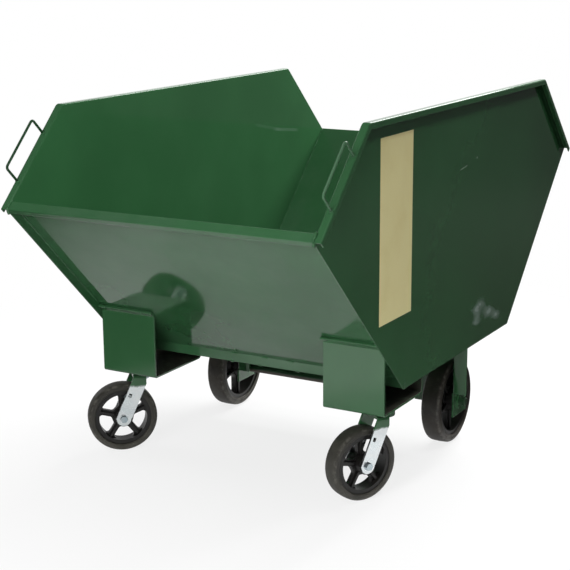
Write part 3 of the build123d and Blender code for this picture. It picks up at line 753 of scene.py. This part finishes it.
def make_rubber(name, dark, light, dust_share, joint, shoulder_radius):
    """Dull rubber with fine grain, flecks of grit, dust, a rubbed shoulder and painted sheen low on the side
    walls.
    """
    made, tree, shader = new_material(name)
    place = object_place(tree)
    clouds = ranged(tree, noise(tree, place, scale=16.0, detail=5.0, roughness=0.6), 0.35, 0.70)
    film = mixed_colour(tree, clouds, dark, light)
    dusty = place_group(tree, dust, {"Amount": 0.8, "Scale": 14.0, "Floor height": 0.22})
    film = mixed_colour(tree, product(tree, dusty, dust_share), film, tread_dust)
    facing = add_node(tree, "ShaderNodeNewGeometry").outputs["Normal"]
    facing = vector_maths(tree, "DOT_PRODUCT", facing, joint["axis"])
    # Low on the side walls the pale colour stands for dust and a painted sheen together.
    on_wall = ranged(tree, maths(tree, "ABSOLUTE", facing), 0.60, 0.95)
    wall_clouds = noise(tree, place, scale=22.0, detail=5.0, roughness=0.6)
    near_floor = ranged(tree, along_axis(tree, place, "Z"), 0.100, 0.015)
    on_wall = product(tree, on_wall, ranged(tree, wall_clouds, 0.30, 0.62), near_floor)
    film = mixed_colour(tree, product(tree, on_wall, dust_share), film, wall_dust_and_sheen)
    flecks = ranged(tree, noise(tree, place, scale=190.0, detail=2.0, roughness=0.7), 0.60, 0.72)
    flecks = product(tree, flecks, ranged(tree, clouds, 0.2, 0.9, to_low=0.10, to_high=0.75))
    film = mixed_colour(tree, flecks, film, grit)
    spoke = vector_maths(tree, "SUBTRACT", place, joint["pos_m"])
    out = vector_maths(tree, "LENGTH", vector_maths(tree, "CROSS_PRODUCT", spoke, joint["axis"]))
    off_shoulder = maths(tree, "ABSOLUTE", maths(tree, "SUBTRACT", out, shoulder_radius))
    worn_spots = noise(tree, place, scale=70.0, detail=4.0, roughness=0.65)
    rubbed = ranged(tree, off_shoulder, 0.0050, 0.0010)
    rubbed = product(tree, rubbed, ranged(tree, worn_spots, 0.42, 0.66), 0.60)
    film = mixed_colour(tree, rubbed, film, rubbed_grey)
    tree.links.new(film, shader.inputs["Base Color"])
    gloss = ranged(tree, clouds, 0.0, 1.0, to_low=0.48, to_high=0.64)
    tree.links.new(gloss, shader.inputs["Roughness"])
    grain = product(tree, noise(tree, place, scale=420.0, detail=3.0, roughness=0.6), grain_height)
    bump = add_node(tree, "ShaderNodeBump", {}, {"Distance": 1.0, "Height": grain})
    tree.links.new(bump.outputs["Normal"], shader.inputs["Normal"])
    return made


def wheel_place(joint):
    """Moves a wheel made round the X axis to its joint."""
    turn = Vector((1.0, 0.0, 0.0)).rotation_difference(Vector(joint["axis"])).to_matrix().to_4x4()
    return Matrix.Translation(joint["pos_m"]) @ turn


def make_tyre(radius, width, bore, groove):
    """One tyre round the X axis, spun from its section, with a groove this deep in each side wall."""
    half = width / 2
    lip = half - 0.0005
    foot = half - 0.0006
    wall = half - 0.0002
    ring = bore + 0.0040
    ring_top = half + 0.0004
    groove_floor = half - groove
    side_points = [(lip, bore), (half, ring), (ring_top, ring + 0.0008), (ring_top, ring + 0.0016)]
    side_points += [(foot, ring + 0.0030)]
    if groove:
        side_points += [(wall, radius - 0.0152), (groove_floor, radius - 0.0144)]
        side_points += [(groove_floor, radius - 0.0132)]
    side_points += [(wall, radius - 0.0120)]
    shoulder_x = half - 0.0008
    shoulder_z = radius - 0.0012
    shape = bmesh.new()
    right_side = [shape.verts.new((across, 0.0, out)) for across, out in side_points]
    right_shoulder = shape.verts.new((shoulder_x, 0.0, shoulder_z))
    crown = shape.verts.new((0.0, 0.0, radius))
    left_shoulder = shape.verts.new((-shoulder_x, 0.0, shoulder_z))
    left_side = [shape.verts.new((-across, 0.0, out)) for across, out in reversed(side_points)]
    outline = right_side + [right_shoulder, crown, left_shoulder] + left_side
    for first, second in zip(outline, outline[1:] + outline[:1]):
        shape.edges.new((first, second))
    bmesh.ops.bevel(
        shape, geom=[right_shoulder, left_shoulder], offset=0.0090, segments=6,
        profile=0.5, affect="VERTICES", material=-1,
    )
    bmesh.ops.spin(
        shape, geom=shape.verts[:] + shape.edges[:], cent=(0.0, 0.0, 0.0), axis=(1.0, 0.0, 0.0),
        angle=math.tau, steps=120, use_merge=True,
    )
    bmesh.ops.remove_doubles(shape, verts=shape.verts, dist=0.00001)
    bmesh.ops.recalc_face_normals(shape, faces=shape.faces)
    return shape


shoulder_depth = 0.0045
caster_rubber = ((0.029, 0.0275, 0.0228, 1.0), (0.048, 0.0455, 0.038, 1.0), 0.25)
# The rear tyres' rubber is darker than the casters' as painted shade under the hopper.
shaded_rear_rubber = ((0.0180, 0.0145, 0.0113, 1.0), (0.0300, 0.0242, 0.0190, 1.0), 0.50)
caster_tyre = {"radius": 0.1018, "width": 0.0500, "bore": 0.0820, "groove": 0.0}
rear_tyre = {"radius": 0.1270, "width": 0.0580, "bore": 0.1030, "groove": 0.0016}
for kind, sizes, rubber_tones in (("caster", caster_tyre, caster_rubber), ("rear", rear_tyre, shaded_rear_rubber)):
    for side_name in ("left", "right"):
        joint = joints[f"{kind}_roll_{side_name}"]
        shoulder_radius = sizes["radius"] - shoulder_depth
        rubber = make_rubber(f"{side_name} {kind} tyre rubber", *rubber_tones, joint, shoulder_radius)
        tyre_shape = make_tyre(**sizes)
        bmesh.ops.transform(tyre_shape, matrix=wheel_place(joint), verts=tyre_shape.verts)
        body = f"{kind}_wheel_{side_name}"
        tyre = finish_piece(f"{side_name}_{kind}_tyre", tyre_shape, rubber, body)
        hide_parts(f"{kind}_tyre_{side_name}")

# Studio: a pale paper floor that runs out to white for the camera, a pale wall behind the cart under a
# dim ceiling, and five soft boxes. In mirrors the paper is dimmer beside the cart and brightest in
# front, and of the lamp behind only a dim screen shows.
camera_right = (0.8690, 0.4950, 0.0)
camera_ahead = (-0.4950, 0.8690, 0.0)
paper_left = (-1.45, -1.15)
paper_right = (0.97, 0.64)
dim_right_rear = ((0.35, 0.55), (-0.45, -0.15))
dim_left_rear = ((-0.68, -1.35), (-0.70, -0.30))
lit_patch = (-0.33, -1.65, 0.0)
lit_extra = 0.6
floor_dark = (0.022, 0.022, 0.020, 1.0)
floor_pale = (0.72, 0.72, 0.72, 1.0)
white = (1.0, 1.0, 1.0, 1.0)
floor_half = 40.0
floor_mesh = bmesh.new()
bmesh.ops.create_grid(floor_mesh, x_segments=1, y_segments=1, size=floor_half)
floor_data = bpy.data.meshes.new("studio_floor")
floor_mesh.to_mesh(floor_data)
floor_mesh.free()
floor = bpy.data.objects.new("studio_floor", floor_data)
bpy.context.scene.collection.objects.link(floor)
floor_paint, floor_tree, floor_shader = new_material("pale floor")
floor_place = object_place(floor_tree)
beside = vector_maths(floor_tree, "DOT_PRODUCT", floor_place, camera_right)
beyond = vector_maths(floor_tree, "DOT_PRODUCT", floor_place, camera_ahead)
on_paper = product(floor_tree, *(ranged(floor_tree, beside, *edge) for edge in (paper_left, paper_right)))
for across, back in (dim_right_rear, dim_left_rear):
    corner = product(floor_tree, ranged(floor_tree, beside, *across), ranged(floor_tree, beyond, *back))
    on_paper = product(floor_tree, on_paper, maths(floor_tree, "SUBTRACT", 1.0, corner))
floor_rays = add_node(floor_tree, "ShaderNodeLightPath").outputs
by_camera = floor_rays["Is Camera Ray"]
by_mirror = floor_rays["Is Glossy Ray"]
pale = maths(floor_tree, "MAXIMUM", on_paper, by_camera)
floor_colour = mixed_colour(floor_tree, pale, floor_dark, floor_pale)
floor_tree.links.new(floor_colour, floor_shader.inputs["Base Color"])
floor_shader.inputs["Roughness"].default_value = 0.9
floor_shader.inputs["Specular IOR Level"].default_value = 0.0
white_share = ranged(floor_tree, vector_maths(floor_tree, "LENGTH", floor_place), 0.3, 2.0, to_low=0.80)
camera_share = product(floor_tree, white_share, by_camera)
paper_light = ranged(floor_tree, beyond, -0.40, -0.95, to_low=0.43, to_high=0.62)
paper_mirror = product(floor_tree, on_paper, paper_light)
room_mirror = ranged(floor_tree, beside, 1.60, 3.60, to_low=0.02, to_high=0.075)
patch = ranged(floor_tree, vector_maths(floor_tree, "DISTANCE", floor_place, lit_patch), 0.70, 0.25)
mirror_share = maths(floor_tree, "MAXIMUM", maths(floor_tree, "ADD", paper_mirror, room_mirror), patch)
mirror_share = product(floor_tree, mirror_share, by_mirror)
white_strength = maths(floor_tree, "ADD", 1.0, product(floor_tree, patch, lit_extra, by_mirror))
white_far = add_node(floor_tree, "ShaderNodeEmission", {}, {"Color": white, "Strength": white_strength})
floor_looks = {
    0: maths(floor_tree, "ADD", camera_share, mirror_share),
    1: floor_shader.outputs["BSDF"],
    2: white_far.outputs["Emission"],
}
floor_look = add_node(floor_tree, "ShaderNodeMixShader", {}, floor_looks)
floor_tree.links.new(floor_look.outputs[0], floor_tree.nodes["Material Output"].inputs["Surface"])
floor_data.materials.append(floor_paint)
floor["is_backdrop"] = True

room_fill = 0.12
ceiling_light = 0.12
world = bpy.data.worlds.new("white studio")
bpy.context.scene.world = world
world.use_nodes = True
world_tree = world.node_tree
rays = add_node(world_tree, "ShaderNodeLightPath").outputs
sky_place = add_node(world_tree, "ShaderNodeTexCoord").outputs["Generated"]
wall_height = ranged(world_tree, along_axis(world_tree, sky_place, "Z"), 0.36, 0.24)
wall_width = ranged(world_tree, vector_maths(world_tree, "DOT_PRODUCT", sky_place, camera_ahead), 0.55, 0.80)
on_wall = product(world_tree, wall_height, wall_width)
wall_light = ranged(world_tree, on_wall, 0.0, 1.0, to_low=ceiling_light)
mirrored_light = product(world_tree, rays["Is Glossy Ray"], wall_light)
shown = maths(world_tree, "MAXIMUM", rays["Is Camera Ray"], rays["Is Glossy Ray"])
fill = product(world_tree, maths(world_tree, "SUBTRACT", 1.0, shown), room_fill)
room_strength = maths(world_tree, "MAXIMUM", rays["Is Camera Ray"], mirrored_light)
room_strength = maths(world_tree, "ADD", room_strength, fill)
background = world_tree.nodes["Background"]
background.inputs["Color"].default_value = white
world_tree.links.new(room_strength, background.inputs["Strength"])


def soft_lamp(name, place, aim, size, power, mirrored):
    """A rectangular soft box that points at a place, hidden from mirrors or not."""
    lamp = bpy.data.lights.new(name, "AREA")
    lamp.shape = "RECTANGLE"
    lamp.size = size[0]
    lamp.size_y = size[1]
    lamp.energy = power
    holder = bpy.data.objects.new(name, lamp)
    turn = (Vector(aim) - Vector(place)).to_track_quat("-Z", "Y").to_matrix().to_4x4()
    holder.matrix_world = Matrix.Translation(place) @ turn
    holder.visible_camera = False
    holder.visible_glossy = mirrored
    bpy.context.scene.collection.objects.link(holder)


rear_aim = (-0.3, 0.1, 0.7)
front_aim = (0.1, -1.2, 0.0)
low_aim = (0.1, -0.5, 0.35)
right_aim = (0.45, 0.0, 0.7)
left_aim = (-0.45, 0.0, 0.6)
soft_lamp("back soft box", (0.2, 3.5, 3.1), rear_aim, size=(1.6, 1.6), power=430.0, mirrored=False)
soft_lamp("back screen", (0.19, 3.43, 3.05), rear_aim, size=(1.6, 1.6), power=70.0, mirrored=True)
soft_lamp("front soft box", (0.3, -2.1, 2.6), front_aim, size=(1.8, 1.4), power=7.0, mirrored=True)
soft_lamp("lower front soft box", (0.35, -2.9, 1.45), low_aim, size=(1.6, 0.6), power=46.0, mirrored=False)
soft_lamp("right soft box", (1.5, 0.2, 3.0), right_aim, size=(0.45, 0.45), power=27.0, mirrored=False)
soft_lamp("left soft box", (-2.7, -0.4, 2.2), left_aim, size=(1.2, 1.2), power=20.0, mirrored=False)

camera_point = (1.95065, -3.63756, 1.45255)
camera_heading = 0.517565
camera_dip = 0.236478
camera_roll = -0.006365
lens = bpy.data.cameras.new("camera")
lens.sensor_width = 36.0
lens.lens = 89.62
camera = bpy.data.objects.new("camera", lens)
camera_turn = Matrix.Rotation(camera_heading, 4, "Z") @ Matrix.Rotation(math.pi / 2 - camera_dip, 4, "X")
camera_turn = camera_turn @ Matrix.Rotation(camera_roll, 4, "Z")
camera.matrix_world = Matrix.Translation(camera_point) @ camera_turn
bpy.context.scene.collection.objects.link(camera)
bpy.context.scene.camera = camera
bpy.context.scene.view_settings.view_transform = "Standard"

corners = {"cad": cad_bounds, "visual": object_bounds()}
